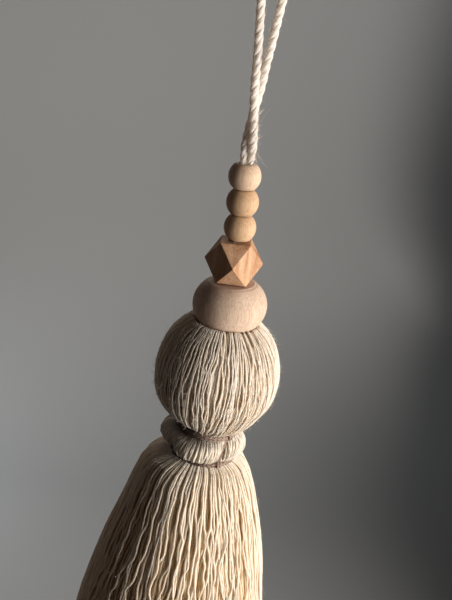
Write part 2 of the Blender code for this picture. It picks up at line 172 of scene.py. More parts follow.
def tubes(name, line, outward, radius, sides, tone=None):
    """Round tubes along many lines at once.

    line and outward are (tubes, rows, 3), and radius is (tubes, rows) or (tubes, rows, sides). A rim point
    is line + radius * (cos a * out + sin a * side), where side is along x outward and out is side x along.
    U goes once round, V is the length travelled in millimetres, and each end is closed.
    """
    count, rows = line.shape[:2]
    along = unit(np.gradient(line, axis=1))
    side = unit(np.cross(along, outward))
    out = np.cross(side, along)
    turn = np.arange(sides) * math.tau / sides
    if radius.ndim == 2:
        radius = radius[..., None]
    rim = np.cos(turn)[:, None] * out[:, :, None] + np.sin(turn)[:, None] * side[:, :, None]
    points = line[:, :, None] + radius[..., None] * rim
    index = np.arange(count * rows * sides).reshape(count, rows, sides)
    following = np.roll(index, -1, axis=2)
    quads = columns(index[:, :-1], following[:, :-1], following[:, 1:], index[:, 1:])
    ends = np.concatenate((index[:, 0, ::-1], index[:, -1]))
    steps = np.linalg.norm(np.diff(line, axis=1), axis=-1)
    travelled = np.concatenate((np.zeros((count, 1)), np.cumsum(steps, axis=1)), axis=1)
    low = np.broadcast_to(travelled[:, :-1, None], quads.shape[:3])
    high = np.broadcast_to(travelled[:, 1:, None], quads.shape[:3])
    start = np.broadcast_to(np.arange(sides) / sides, quads.shape[:3])
    stop = start + 1.0 / sides
    quad_uvs = columns(start, low, stop, low, stop, high, start, high).reshape(-1, 4, 2)
    end_uvs = np.zeros((len(ends), sides, 2))
    tones = None
    if tone is not None:
        tones = np.repeat(np.broadcast_to(tone.reshape(count, -1), (count, rows)), sides)
    return mesh_of(name, points.reshape(-1, 3), [quads.reshape(-1, 4), ends], [quad_uvs, end_uvs], tones)


def painted(name):
    """A new material and its main shader."""
    material = bpy.data.materials.new(name)
    material.use_nodes = True
    return material, material.node_tree.nodes["Principled BSDF"]


def joined(material, kind, **settings):
    """A new shader node of a kind in a material, with its sockets and properties set by name."""
    node = material.node_tree.nodes.new(kind)
    for key, value in settings.items():
        if hasattr(node, key):
            setattr(node, key, value)
        else:
            node.inputs[key.replace("_", " ")].default_value = value
    return node


def worked(material, operation, *values):
    """The output of a new maths node in a material. Each value is a number or another node's output."""
    node = joined(material, "ShaderNodeMath", operation=operation)
    for socket, value in zip(node.inputs, values):
        if isinstance(value, float):
            socket.default_value = value
        else:
            material.node_tree.links.new(value, socket)
    return node.outputs[0]


def mixed(material, share, first, second, **settings):
    """The output of a new colour mix. Each colour is a triple or another node's output."""
    node = joined(material, "ShaderNodeMix", data_type="RGBA", **settings)
    for socket, value in ((node.inputs["Factor"], share), (node.inputs[6], first), (node.inputs[7], second)):
        if isinstance(value, float):
            socket.default_value = value
        elif isinstance(value, tuple):
            socket.default_value = (*value, 1.0)
        else:
            material.node_tree.links.new(value, socket)
    return node.outputs[2]


def cotton(
    name, light, deep, twist, plies, raise_plies=0.4, bump=0.35, roughness=0.9, sheen=0.3, through=0.4,
    inside=(1.0, 0.87, 0.68),
):
    """Matt cotton: a light colour mixed with a deep one by fine fibres along it and by the tone attribute,
    which holds each yarn's own tone and any painted shade.

    The fibres are noise drawn out along the yarn. The plies are a sine of plies * U + V / twist, which climbs
    round the tube once in each twist length. Through is the share of light that passes into the yarn, where
    the colour inside tints it.
    """
    material, shader = painted(name)
    link = material.node_tree.links.new
    shader.inputs["Roughness"].default_value = roughness
    shader.inputs["Specular IOR Level"].default_value = 0.15
    shader.inputs["Sheen Weight"].default_value = sheen
    shader.inputs["Sheen Roughness"].default_value = 0.4

    uv = joined(material, "ShaderNodeUVMap", uv_map="UVMap")
    parts = joined(material, "ShaderNodeSeparateXYZ")
    link(uv.outputs["UV"], parts.inputs[0])
    round_it, along_it = parts.outputs["X"], parts.outputs["Y"]
    ply_start = worked(material, "MULTIPLY", round_it, plies * math.tau)
    ply = worked(material, "SINE", worked(material, "MULTIPLY_ADD", along_it, math.tau / twist, ply_start))

    place = joined(material, "ShaderNodeTexCoord")
    drift = joined(material, "ShaderNodeTexNoise", Scale=160.0, Detail=2.0)
    link(place.outputs["Object"], drift.inputs["Vector"])
    tone = joined(material, "ShaderNodeAttribute", attribute_name="tone").outputs["Fac"]
    fibre_place = joined(material, "ShaderNodeCombineXYZ")
    link(worked(material, "MULTIPLY", round_it, 5.0), fibre_place.inputs[0])
    link(worked(material, "MULTIPLY", along_it, 0.45), fibre_place.inputs[1])
    link(worked(material, "MULTIPLY", tone, 41.0), fibre_place.inputs[2])
    fibre = joined(material, "ShaderNodeTexNoise", Scale=1.0, Detail=4.0, Roughness=0.7)
    link(fibre_place.outputs[0], fibre.inputs["Vector"])
    shade = worked(material, "MULTIPLY_ADD", fibre.outputs["Fac"], 1.4, tone)
    shade = worked(material, "MULTIPLY_ADD", drift.outputs["Fac"], 0.8, shade)
    ramp = joined(material, "ShaderNodeMapRange", From_Min=1.1, From_Max=2.1)
    link(shade, ramp.inputs["Value"])
    colour = mixed(material, ramp.outputs[0], light, deep)
    link(colour, shader.inputs["Base Color"])

    height = worked(material, "MULTIPLY", ply, raise_plies)
    height = worked(material, "MULTIPLY_ADD", fibre.outputs["Fac"], 2.0, height)
    raised = joined(material, "ShaderNodeBump", Strength=bump, Distance=0.0002)
    link(height, raised.inputs["Height"])
    link(raised.outputs["Normal"], shader.inputs["Normal"])

    if through:
        thin = joined(material, "ShaderNodeBsdfTranslucent")
        link(mixed(material, 1.0, colour, inside, blend_type="MULTIPLY"), thin.inputs["Color"])
        shared = joined(material, "ShaderNodeMixShader")
        shared.inputs[0].default_value = through
        link(shader.outputs[0], shared.inputs[1])
        link(thin.outputs[0], shared.inputs[2])
        link(shared.outputs[0], material.node_tree.nodes["Material Output"].inputs["Surface"])
    return material


ROPE_LIGHT = (1.0, 0.98, 0.95)
ROPE_DEEP = (0.94, 0.90, 0.84)
rope_finish = cotton(
    "soft_white_cotton", ROPE_LIGHT, ROPE_DEEP, twist=-9.0, plies=5, bump=0.6, sheen=0.5, through=0.45,
    inside=(1.0, 0.95, 0.90),
)

centre, travelled = rope_line(0.9)
along = unit(np.gradient(centre, axis=0))
sideways = unit(np.array((0.0, 1.0, 0.0)) - along * along[:, 1:2])
across = np.cross(along, sideways)
share = thickness_share(centre[:, 2])
strand_lines = []
strand_outs = []
for k in range(ROPE_STRANDS):
    angle = math.tau * (travelled / ROPE_LAY + k / ROPE_STRANDS)
    outward = np.cos(angle)[:, None] * sideways + np.sin(angle)[:, None] * across
    strand_lines.append(centre + STRAND_AWAY * share[:, None] * outward)
    strand_outs.append(outward)
strand_sides = 4 * STRAND_YARNS
strand_turn = np.arange(strand_sides) / strand_sides
yarn_turn = STRAND_YARNS * strand_turn[None, :] - travelled[:, None] / YARN_LAY
fullness = 1.0 + 0.04 * np.cos(math.tau * yarn_turn)
strand_radius = np.broadcast_to((STRAND_R * share)[:, None] * fullness, (ROPE_STRANDS, *fullness.shape))
rope_mesh = tubes(
    "looped_rope",
    np.array(strand_lines),
    np.array(strand_outs),
    strand_radius,
    strand_sides,
    np.array((0.2, 0.35, 0.1)),
)
rope = put(rope_mesh, [rope_finish], "cotton_rope", "hanging_cord")

# Stage. A pale sweep behind and below the tassel, and soft warm light from the right as from a window. The
# sweep has two weak lights of its own. Two more reach the tassel's shaded side, from the back and the left.
BACKDROP_AWAY = 1.15
FLOOR_DROP = 0.75
SWEEP_R = 0.5
SWEEP_FRONT = -2.6
SWEEP_TOP = 2.2
SWEEP_HALF_WIDTH = 2.6
SWEEP_GREY = (0.445, 0.458, 0.465)
CARD_BLACK = (0.03, 0.03, 0.03)
ROOM_COLOUR = (1.0, 0.62, 0.50)
ROOM_STRENGTH = 0.0045
KEY_AZIMUTH = math.radians(64.5)
KEY_ELEVATION = math.radians(2.0)
KEY_AWAY = 1.6
TASSEL_MIDDLE = Vector((0.0, 0.0, -0.2))

sweep_turn = np.linspace(0.0, math.pi / 2, 12)
sweep_y = BACKDROP_AWAY - SWEEP_R + SWEEP_R * np.sin(sweep_turn)
sweep_y = np.concatenate(([SWEEP_FRONT], sweep_y, [BACKDROP_AWAY]))
sweep_z = SWEEP_R - FLOOR_DROP - SWEEP_R * np.cos(sweep_turn)
sweep_z = np.concatenate(([-FLOOR_DROP], sweep_z, [SWEEP_TOP]))
sweep_sides = (-SWEEP_HALF_WIDTH, SWEEP_HALF_WIDTH)
sweep_grid = np.stack([columns(np.full(14, x), sweep_y, sweep_z) for x in sweep_sides])
sweep_index = np.arange(28).reshape(2, 14)
sweep_quads = columns(sweep_index[0, :-1], sweep_index[1, :-1], sweep_index[1, 1:], sweep_index[0, 1:])
sweep_mesh = mesh_of("sweep", sweep_grid.reshape(-1, 3) * 1000.0, [sweep_quads])
sweep_paint, sweep_shader = painted("sweep_paint")
sweep_shader.inputs["Base Color"].default_value = (*SWEEP_GREY, 1.0)
sweep_shader.inputs["Roughness"].default_value = 0.95
sweep_mesh.materials.append(sweep_paint)
sweep = bpy.data.objects.new("sweep", sweep_mesh)
scene.collection.objects.link(sweep)


def lamp(name, place, target, size, power, colour, spread):
    """A round soft light at a place, facing a target, that the camera doesn't see."""
    data = bpy.data.lights.new(name, "AREA")
    data.shape = "DISK"
    data.size = size
    data.energy = power
    data.color = colour
    data.spread = math.radians(spread)
    made = bpy.data.objects.new(name, data)
    facing = (target - place).to_track_quat("-Z", "Y").to_matrix().to_4x4()
    made.matrix_world = Matrix.Translation(place) @ facing
    made.visible_camera = False
    scene.collection.objects.link(made)


key_level = math.cos(KEY_ELEVATION)
key_x = math.sin(KEY_AZIMUTH) * key_level
key_y = -math.cos(KEY_AZIMUTH) * key_level
key_way = Vector((key_x, key_y, math.sin(KEY_ELEVATION)))
lamp("window", TASSEL_MIDDLE + key_way * KEY_AWAY, TASSEL_MIDDLE, 1.45, 14.6, (1.0, 0.93, 0.86), 76.0)
lamp("backdrop_light", Vector((0.3, 0.2, 0.9)), Vector((0.2, 1.15, 0.3)), 0.5, 0.7, (0.96, 0.98, 1.0), 90.0)
lamp("back_fill", Vector((0.1, 0.95, 0.25)), TASSEL_MIDDLE, 0.7, 0.6, (1.0, 0.95, 0.9), 80.0)
lamp("left_fill", Vector((-1.2, -0.8, -0.2)), TASSEL_MIDDLE, 0.3, 0.09, (1.0, 0.82, 0.76), 60.0)
floor_spot = Vector((-0.5, 0.55, -FLOOR_DROP))
lamp("floor_light", Vector((-0.9, 0.3, -0.35)), floor_spot, 0.4, 0.8, (0.94, 0.98, 1.0), 76.0)

# A dark card beside the sweep keeps part of the window's light off its right half. A second one lies on the
# floor in front, so that little light comes back up from there.
SIDE_CARD_X = 520.0
SIDE_CARD_EDGE = (
    (120, -800), (225, -620), (720, -580), (930, -480), (890, -330), (890, -100), (920, 900), (1120, 900),
    (1120, -800),
)
FLOOR_CARD_Z = -740.0
FLOOR_CARD_EDGE = ((-1400, -2400), (1400, -2400), (1400, 60), (-1400, 60))
side_corners = np.array([(SIDE_CARD_X, y, z) for y, z in SIDE_CARD_EDGE])
floor_corners = np.array([(x, y, FLOOR_CARD_Z) for x, y in FLOOR_CARD_EDGE])
card_paint, card_shader = painted("card_paint")
card_shader.inputs["Base Color"].default_value = (*CARD_BLACK, 1.0)
for card_name, corners in (("side_card", side_corners), ("floor_card", floor_corners)):
    card_mesh = mesh_of(card_name, corners, [np.arange(len(corners))[None, :]])
    card_mesh.materials.append(card_paint)
    card = bpy.data.objects.new(card_name, card_mesh)
    card.visible_camera = False
    scene.collection.objects.link(card)
world = bpy.data.worlds.new("room")
world.use_nodes = True
room_light = world.node_tree.nodes["Background"]
room_light.inputs["Color"].default_value = (*ROOM_COLOUR, 1.0)
room_light.inputs["Strength"].default_value = ROOM_STRENGTH
scene.world = world
scene.view_settings.view_transform = "Standard"

# Beads. Bare hardwood, turned on a lathe and drilled along the grain: three small balls with flattened ends
# and one broad bead, cut flat above and below. Each hangs on the rope with a small lean.
TURNED_STEPS = 96
ROUND_R = 8.0
LARGE_R = 19.0
LARGE_ARC = 15.8
LARGE_HALF = 11.9
LARGE_SHIFT = 2.2
LARGE_Z = -187.7
LARGE_LEAN = math.radians(-4.0)
# Round beads: (name, CAD node, centre's height, shift along X).
ROUND_BEADS = (
    ("upper_ball_bead", "bead_round_top", -121.8, 0.0),
    ("middle_ball_bead", "bead_round_middle", -134.5, 0.8),
    ("lower_ball_bead", "bead_round_lower", -147.2, 1.4),
)


def turned_profile(radius, arc, half, bore, ease):
    """Closed profile of (radius, height): an ellipse's side cut flat at both ends, eased rims and a bore.

    The side is radius * cos a, arc * sin a between the two cuts. The rim between side and flat, and the one
    between flat and bore, are quarter rounds of the size ease.
    """
    cut = math.asin(half / arc)
    rim_r = radius * math.cos(cut)
    side = np.linspace(cut - 0.05, -cut + 0.05, 44)
    outer = columns(radius * np.cos(side), arc * np.sin(side))
    rim = np.linspace(math.pi / 2, 0.35, 4)
    upper_rim = columns(rim_r - 1.5 * ease + ease * np.cos(rim), half - ease + ease * np.sin(rim))
    mouth = np.linspace(math.pi, math.pi / 2, 5)
    mouth_r = bore + ease + ease * np.cos(mouth)
    upper_mouth = columns(mouth_r, half - ease + ease * np.sin(mouth))
    flat = columns(np.linspace(bore + ease, rim_r - 1.5 * ease, 6)[1:-1], np.full(4, half))
    top = np.concatenate((upper_mouth, flat, upper_rim))
    bottom = top[::-1] * (1.0, -1.0)
    wall = columns(np.full(5, bore), np.linspace(ease - half, half - ease, 7)[1:-1])
    return np.concatenate((top, outer, bottom, wall))


def leaned(x, y, z, lean, place):
    """Points in a bead's own axes, turned by its lean about Y and set at its place."""
    sine, cosine = math.sin(lean), math.cos(lean)
    return columns(x * cosine + z * sine, y, z * cosine - x * sine) + place


def turned(name, profile, place, lean):
    """A profile turned about the bore's line, leaned about Y, and set at its place."""
    turn = np.arange(TURNED_STEPS) * math.tau / TURNED_STEPS
    x = profile[:, 0:1] * np.cos(turn)
    y = profile[:, 0:1] * np.sin(turn)
    z = np.broadcast_to(profile[:, 1:2], x.shape)
    points = leaned(x, y, z, lean, place)
    index = np.arange(x.size).reshape(x.shape)
    below = np.roll(index, -1, axis=0)
    quads = columns(index, below, np.roll(below, -1, axis=1), np.roll(index, -1, axis=1))
    u = np.broadcast_to(np.arange(TURNED_STEPS) / TURNED_STEPS, x.shape)
    v = np.broadcast_to(np.arange(len(profile))[:, None] / len(profile), x.shape)
    du, dv = 1.0 / TURNED_STEPS, 1.0 / len(profile)
    uvs = columns(u, v, u, v + dv, u + du, v + dv, u + du, v).reshape(-1, 4, 2)
    return mesh_of(name, points.reshape(-1, 3), [quads.reshape(-1, 4)], [uvs])


def bare_wood(name, pale, dark, place, lean, streak, flat_colour=None, flat_at=0.0):
    """Bare wood with its grain along the bore: slow bands of colour, fine dark streaks and short pores.

    Each is noise in the bead's own place, drawn out along the bore. Above flat_at millimetres from the
    middle, the cut end grain takes flat_colour.
    """
    material, shader = painted(name)
    link = material.node_tree.links.new
    shader.inputs["Roughness"].default_value = 0.65
    shader.inputs["Specular IOR Level"].default_value = 0.1
    shader.inputs["Subsurface Weight"].default_value = 0.15
    shader.inputs["Subsurface Radius"].default_value = (1.0, 0.4, 0.25)
    shader.inputs["Subsurface Scale"].default_value = 0.0015
    coordinate = joined(material, "ShaderNodeTexCoord")
    home = joined(material, "ShaderNodeMapping", vector_type="TEXTURE")
    home.inputs["Location"].default_value = tuple(value * 0.001 for value in place)
    home.inputs["Rotation"].default_value = (0.0, lean, 0.0)
    link(coordinate.outputs["Object"], home.inputs["Vector"])

    def drawn_out(scale, stretch, detail, distortion=0.0):
        stretched = joined(material, "ShaderNodeMapping")
        stretched.inputs["Scale"].default_value = (1.0, 1.0, stretch)
        link(home.outputs[0], stretched.inputs["Vector"])
        noise = joined(
            material, "ShaderNodeTexNoise", Scale=scale, Detail=detail, Roughness=0.6, Distortion=distortion
        )
        link(stretched.outputs[0], noise.inputs["Vector"])
        return noise.outputs["Fac"]

    bands = drawn_out(140.0, 0.16, 2.0, 0.6)
    streaks = drawn_out(1500.0, 0.045, 2.0)
    pores = drawn_out(2200.0, 0.3, 1.0)
    grain = worked(material, "MULTIPLY_ADD", pores, 0.5, bands)
    grain = worked(material, "MULTIPLY_ADD", streaks, streak, grain)
    ramp = joined(
        material, "ShaderNodeMapRange", From_Min=0.55 + 0.4 * streak, From_Max=0.95 + 0.6 * streak
    )
    link(grain, ramp.inputs["Value"])
    colour = mixed(material, ramp.outputs[0], pale, dark)
    if flat_colour is not None:
        height = joined(material, "ShaderNodeSeparateXYZ")
        link(home.outputs[0], height.inputs[0])
        away = worked(material, "ABSOLUTE", height.outputs["Z"])
        edge = joined(
            material, "ShaderNodeMapRange", From_Min=(flat_at - 0.5) * 0.001, From_Max=(flat_at + 0.3) * 0.001
        )
        link(away, edge.inputs["Value"])
        colour = mixed(material, edge.outputs[0], colour, flat_colour)
    link(colour, shader.inputs["Base Color"])
    raised = joined(material, "ShaderNodeBump", Strength=0.5, Distance=0.0002)
    link(worked(material, "ADD", streaks, pores), raised.inputs["Height"])
    link(raised.outputs["Normal"], shader.inputs["Normal"])
    return material


ROUND_WOODS = (
    ((0.70, 0.54, 0.40), (0.52, 0.36, 0.25)),
    ((0.64, 0.45, 0.285), (0.46, 0.285, 0.165)),
    ((0.66, 0.47, 0.305), (0.48, 0.30, 0.175)),
)
ROUND_LEAN = math.radians(-3.0)
ball_profile = turned_profile(ROUND_R, ROUND_R, 6.2, 3.5, 0.45)
for (bead_name, node, level, shift), (pale, dark) in zip(ROUND_BEADS, ROUND_WOODS):
    bead_place = (shift, 0.0, level)
    bead_mesh = turned(bead_name, ball_profile, bead_place, ROUND_LEAN)
    bead_finish = bare_wood(bead_name + "_wood", pale, dark, bead_place, ROUND_LEAN, 1.2)
    put(bead_mesh, [bead_finish], "round_bead_wood", node)

LARGE_PALE = (0.71, 0.555, 0.44)
LARGE_DARK = (0.50, 0.36, 0.26)
LARGE_END_GRAIN = (0.58, 0.43, 0.36)
large_place = (LARGE_SHIFT, 0.0, LARGE_Z)
large_profile = turned_profile(LARGE_R, LARGE_ARC, LARGE_HALF, 4.0, 0.6)
large_mesh = turned("broad_bead", large_profile, large_place, LARGE_LEAN)
large_finish = bare_wood(
    "broad_bead_wood", LARGE_PALE, LARGE_DARK, large_place, LARGE_LEAN, 1.5, LARGE_END_GRAIN, LARGE_HALF
)
put(large_mesh, [large_finish], "large_bead_wood", "bead_large")

# Faceted bead. A cube of warmer wood with its eight corners sawn off at the middle of each edge, lightly
# sanded along its edges, and drilled through two of its six square faces.
FACET_HALF = 10.5
FACET_BORE = 4.0
FACET_PLACE = (0.9, 0.0, -164.6)
FACET_LEAN = math.radians(-1.5)
FACET_PALE = (0.62, 0.405, 0.26)
FACET_DARK = (0.33, 0.15, 0.065)
MOUTH_STEPS = 32


def faceted(name):
    """The cut cube as four rings of corners: bore, square, belt, square, bore.

    A belt corner is half * (+-1, +-1, 0) and a square's corner half * (+-1, 0, +-1) or half * (0, +-1, +-1),
    turned by 45 degrees about the bore. Each square end is four flat faces that share out the bore's rim.
    """
    quarter = np.arange(4) * math.pi / 2
    square = FACET_HALF * columns(np.cos(quarter), np.sin(quarter))
    eighth = quarter + math.pi / 4
    belt = math.sqrt(2) * FACET_HALF * columns(np.cos(eighth), np.sin(eighth))
    rim_turn = np.arange(MOUTH_STEPS) * math.tau / MOUTH_STEPS
    rim = FACET_BORE * columns(np.cos(rim_turn), np.sin(rim_turn))
    flat = np.concatenate((square, belt, square, rim, rim))
    height = FACET_HALF * np.repeat((1.0, 0.0, -1.0, 1.0, -1.0), (4, 4, 4, MOUTH_STEPS, MOUTH_STEPS))
    turn = math.pi / 4
    x = flat[:, 0] * math.cos(turn) - flat[:, 1] * math.sin(turn)
    y = flat[:, 0] * math.sin(turn) + flat[:, 1] * math.cos(turn)
    points = leaned(x, y, height, FACET_LEAN, FACET_PLACE)

    corner = np.arange(4)
    after = (corner + 1) % 4
    upper_triangles = columns(corner, 4 + corner, after)
    lower_triangles = columns(8 + corner, 8 + after, 4 + corner)
    triangles = np.concatenate((upper_triangles, lower_triangles))
    squares = columns(corner, 4 + (corner - 1) % 4, 8 + corner, 4 + corner)
    arc = MOUTH_STEPS // 4
    sweep_back = 12 + (after[:, None] * arc - np.arange(arc + 1)) % MOUTH_STEPS
    upper = np.concatenate((corner[:, None], after[:, None], sweep_back), axis=1)
    sweep_on = 12 + MOUTH_STEPS + (corner[:, None] * arc + np.arange(arc + 1)) % MOUTH_STEPS
    lower = np.concatenate((8 + after[:, None], 8 + corner[:, None], sweep_on), axis=1)
    lip = np.arange(MOUTH_STEPS)
    lip_after = (lip + 1) % MOUTH_STEPS
    wall = columns(12 + lip, 12 + lip_after, 12 + MOUTH_STEPS + lip_after, 12 + MOUTH_STEPS + lip)
    return mesh_of(name, points, [triangles, squares, upper, lower, wall])


facet_mesh = faceted("faceted_bead")
facet_mesh.polygons.foreach_set("use_smooth", np.zeros(len(facet_mesh.polygons), dtype=bool))
facet_finish = bare_wood("faceted_bead_wood", FACET_PALE, FACET_DARK, FACET_PLACE, FACET_LEAN, 0.8)
facet_bead = put(facet_mesh, [facet_finish], "faceted_bead_wood", "bead_faceted")
sanded = facet_bead.modifiers.new("sanded_edges", "BEVEL")
sanded.width = 0.00035
sanded.segments = 3
sanded.limit_method = "ANGLE"
sanded.angle_limit = math.radians(25.0)
sanded.harden_normals = True

# Yarn head. Lengths of undyed cotton yarn are laid over a ball's shape from under the broad bead down to
# the neck, side by side and two deep, so that single yarns cross, lift and sink.
HEAD_R = 32.4
HEAD_Z = -224.8
UPPER_TIE_Z = -256.2
LOWER_TIE_Z = -272.9
NECK_R = 17.2
NECK_SHIFT = -1.4
YARN_R = 0.58
YARN_SIDES = 5
YARN_TWIST = 3.4
# Rows of the ball: (degrees from its top, radius beyond a true ball's, shift along X, sag on the +X side,
# and how far it is drawn in on the -X side).
BALL_ROWS = (
    (28.0, 1.8, 1.2, 0.0, 0.0),
    (37.0, 1.6, 1.2, 0.0, 0.0),
    (47.0, 1.1, 1.2, 0.0, 0.0),
    (59.0, 0.5, 1.2, 0.0, 0.0),
    (72.0, 0.0, 1.2, 0.0, 0.0),
    (86.0, 0.0, 1.2, 0.0, 0.0),
    (100.0, 0.4, 1.1, 0.0, 0.0),
    (114.0, 1.3, 0.8, 0.0, 0.0),
    (127.0, 1.7, 0.3, 0.0, 0.3),
    (140.0, 3.4, -0.3, 0.6, 2.4),
    (150.0, 5.2, -1.1, 1.0, 6.0),
)


def under_broad_bead(x, y):
    """Height of the leaning broad bead's underside: the cut ellipse's curve, closed in on by turns."""
    sine, cosine = math.sin(LARGE_LEAN), math.cos(LARGE_LEAN)
    away = x - LARGE_SHIFT
    down = np.full_like(x, -LARGE_HALF)
    for _ in range(8):
        radius = np.hypot(cosine * away - sine * down, y)
        curve = LARGE_ARC * np.sqrt(np.clip(1.0 - (radius / LARGE_R) ** 2, 0.0, 1.0))
        down = (-np.minimum(LARGE_HALF, curve) - sine * away) / cosine
    return LARGE_Z + down


def smooth_rows(x, rows):
    """Values at x on smooth curves through rows of (x, value, value, ...): cubics that share their slopes."""
    table = np.asarray(rows, dtype=float)
    knots, values = table[:, 0], table[:, 1:]
    slopes = np.gradient(values, knots, axis=0)
    x = np.clip(x, knots[0], knots[-1])
    k = np.clip(np.searchsorted(knots, x) - 1, 0, len(knots) - 2)
    gap = (knots[k + 1] - knots[k])[..., None]
    t = (x[..., None] - knots[k][..., None]) / gap
    start = (1 + 2 * t) * (1 - t) ** 2 * values[k] + t * (1 - t) ** 2 * gap * slopes[k]
    stop = t**2 * (3 - 2 * t) * values[k + 1] + t**2 * (t - 1) * gap * slopes[k + 1]
    return start + stop


def ball_table():
    """Rows of (0 to 1 down the head, radius, shift, height, sag, draw-in), from the bead to the binding."""
    rows = [(11.0, 2.95, LARGE_Z - 12.0, 0.0, 0.0), (14.5, 2.6, LARGE_Z - 10.8, 0.0, 0.0)]
    for degrees, fuller, shift, sag, drawn in BALL_ROWS:
        tilt = math.radians(degrees)
        rows.append((HEAD_R * math.sin(tilt) + fuller, shift, HEAD_Z + HEAD_R * math.cos(tilt), sag, drawn))
    rows.append((19.3, NECK_SHIFT, UPPER_TIE_Z + 1.9, 0.5, 6.6))
    rows.append((17.0, NECK_SHIFT, UPPER_TIE_Z + 0.3, 0.0, 5.0))
    rows.append((16.4, NECK_SHIFT, UPPER_TIE_Z - 1.5, 0.0, 4.2))
    rows = np.array(rows)
    steps = np.hypot(np.diff(rows[:, 0]), np.diff(rows[:, 2]))
    down = np.concatenate(([0.0], np.cumsum(steps)))
    return np.column_stack((down / down[-1], rows))


def ball_point(angle, share, inward):
    """Points of the head at angles from the front, shares of the way down, and depths inside it."""
    radius, shift, z, sag, drawn = np.moveaxis(smooth_rows(share, BALL_TABLE), -1, 0)
    step = 0.004
    before = smooth_rows(share - step, BALL_TABLE)
    after = smooth_rows(share + step, BALL_TABLE)
    slope = after - before
    lean_out = -slope[..., 2] / np.hypot(slope[..., 0], slope[..., 2])
    lean_up = slope[..., 0] / np.hypot(slope[..., 0], slope[..., 2])
    radius = radius + sag * np.clip(np.sin(angle), 0.0, 1.0) - drawn * np.clip(0.25 - np.sin(angle), 0.0, 1.0)
    radius = radius - inward * lean_out
    x = shift + radius * np.sin(angle)
    y = -radius * np.cos(angle)
    z = z - inward * lean_up
    return columns(x, y, np.minimum(z, under_broad_bead(x, y) - 0.4 - YARN_R))


draw = np.random.default_rng(5)


def wander(shape, turns):
    """Smooth random values from -1 to 1, (count, rows): about turns new values each, eased by 3t2 - 2t3."""
    count, rows = shape
    values = draw.uniform(-1.0, 1.0, (count, int(turns) + 3))
    t = np.linspace(0.0, turns, rows) + draw.uniform(0.0, 1.0, (count, 1))
    k = np.floor(t).astype(int)
    t = t - k
    ease = t * t * (3 - 2 * t)
    return np.take_along_axis(values, k, 1) * (1 - ease) + np.take_along_axis(values, k + 1, 1) * ease


def spaced(count, jitter):
    """Angles all round, evenly spaced but for a jitter in shares of the pitch."""
    return (np.arange(count) + draw.uniform(-jitter, jitter, count)) * math.tau / count


def put_yarns(name, line, outward, size, finish, tone, pieces=1):
    """Puts yarns into the scene as one piece, or shared out evenly over several numbered ones."""
    for k in range(pieces):
        some = slice(k * len(line) // pieces, (k + 1) * len(line) // pieces)
        piece_name = f"{name}_{k + 1}" if pieces > 1 else name
        yarns = tubes(piece_name, line[some], outward[some], size[some], YARN_SIDES, tone[some])
        put(yarns, [finish], "cotton_yarn", "tassel_yarn")


YARN_LIGHT = (1.0, 0.98, 0.93)
YARN_DEEP = (0.80, 0.68, 0.52)
yarn_finish = cotton("undyed_cotton_yarn", YARN_LIGHT, YARN_DEEP, twist=YARN_TWIST, plies=2)
BALL_TABLE = ball_table()

HEAD_YARNS = 440
HEAD_ROWS = 44
HEAD_PIECES = 2
HEAD_LOCKS = 86
HEAD_SHAPE = (HEAD_YARNS, HEAD_ROWS)
LOCK_SHAPE = (HEAD_LOCKS, HEAD_ROWS)
HEAD_CENTRE = np.array((1.0, 0.0, HEAD_Z))
# Wander in millimetres becomes an angle at this radius.
HEAD_WANDER_R = 33.0
# Steps of this share, counted round from 0 to 1, spread evenly but never repeat.
GOLDEN_STEP = 0.618
LOOSE_SHARE = 0.3
head_share = np.broadcast_to(np.linspace(0.0, 1.0, HEAD_ROWS), HEAD_SHAPE)
head_angle = spaced(HEAD_YARNS, 0.8)[:, None]
# Each yarn is drawn towards the middle of its lock, and the locks wander together.
head_lock = np.floor(np.arange(HEAD_YARNS) * HEAD_LOCKS / HEAD_YARNS).astype(int)
lock_drawn = 0.12 + 0.3 * wander(LOCK_SHAPE, 3.0)[head_lock]
lock_middle = (head_lock[:, None] + 0.5) * math.tau / HEAD_LOCKS
lock_wander = 0.5 * wander(LOCK_SHAPE, 3.0) + 0.25 * wander(LOCK_SHAPE, 8.0)
yarn_wander = 0.8 * wander(HEAD_SHAPE, 6.0) + 0.65 * wander(HEAD_SHAPE, 14.0)
head_angle = head_angle + (lock_middle - head_angle) * lock_drawn
head_angle = head_angle + (lock_wander[head_lock] + yarn_wander) / HEAD_WANDER_R
# Three yarns in ten lie loose on top of the rest and cross them.
head_layer = np.mod(np.arange(HEAD_YARNS) * GOLDEN_STEP + draw.uniform(0.0, 0.2, HEAD_YARNS), 1.0)[:, None]
head_loose = (head_layer < LOOSE_SHARE).astype(float)
head_angle = head_angle + head_loose * 2.2 * wander(HEAD_SHAPE, 3.0) / HEAD_WANDER_R
lock_depth = 0.25 * wander(LOCK_SHAPE, 2.5)[head_lock]
head_under = 0.75 + np.clip(lock_depth + 0.6 * wander(HEAD_SHAPE, 4.0), -0.75, 0.85)
head_under = head_under * (1.0 - head_loose) - 0.35 * head_loose
head_size = (0.77 - 0.1 * head_loose) * YARN_R * (1.0 + 0.16 * wander(HEAD_SHAPE, 18.0))
head_size = head_size * (0.75 + 0.25 * np.clip(head_share / 0.3, 0.0, 1.0))
head_line = ball_point(head_angle, head_share, YARN_R + head_under)
head_out = unit(head_line - HEAD_CENTRE)
# Painted shade: the deeper a yarn lies, the more of the deep colour it takes. The rest of its tone differs at
# random.
head_tone = np.clip(0.6 * draw.uniform(0.0, 1.0, (HEAD_YARNS, 1)) + 0.35 * head_under - 0.35, -0.4, 0.8)
put_yarns("head_yarns", head_line, head_out, head_size, yarn_finish, head_tone, HEAD_PIECES)

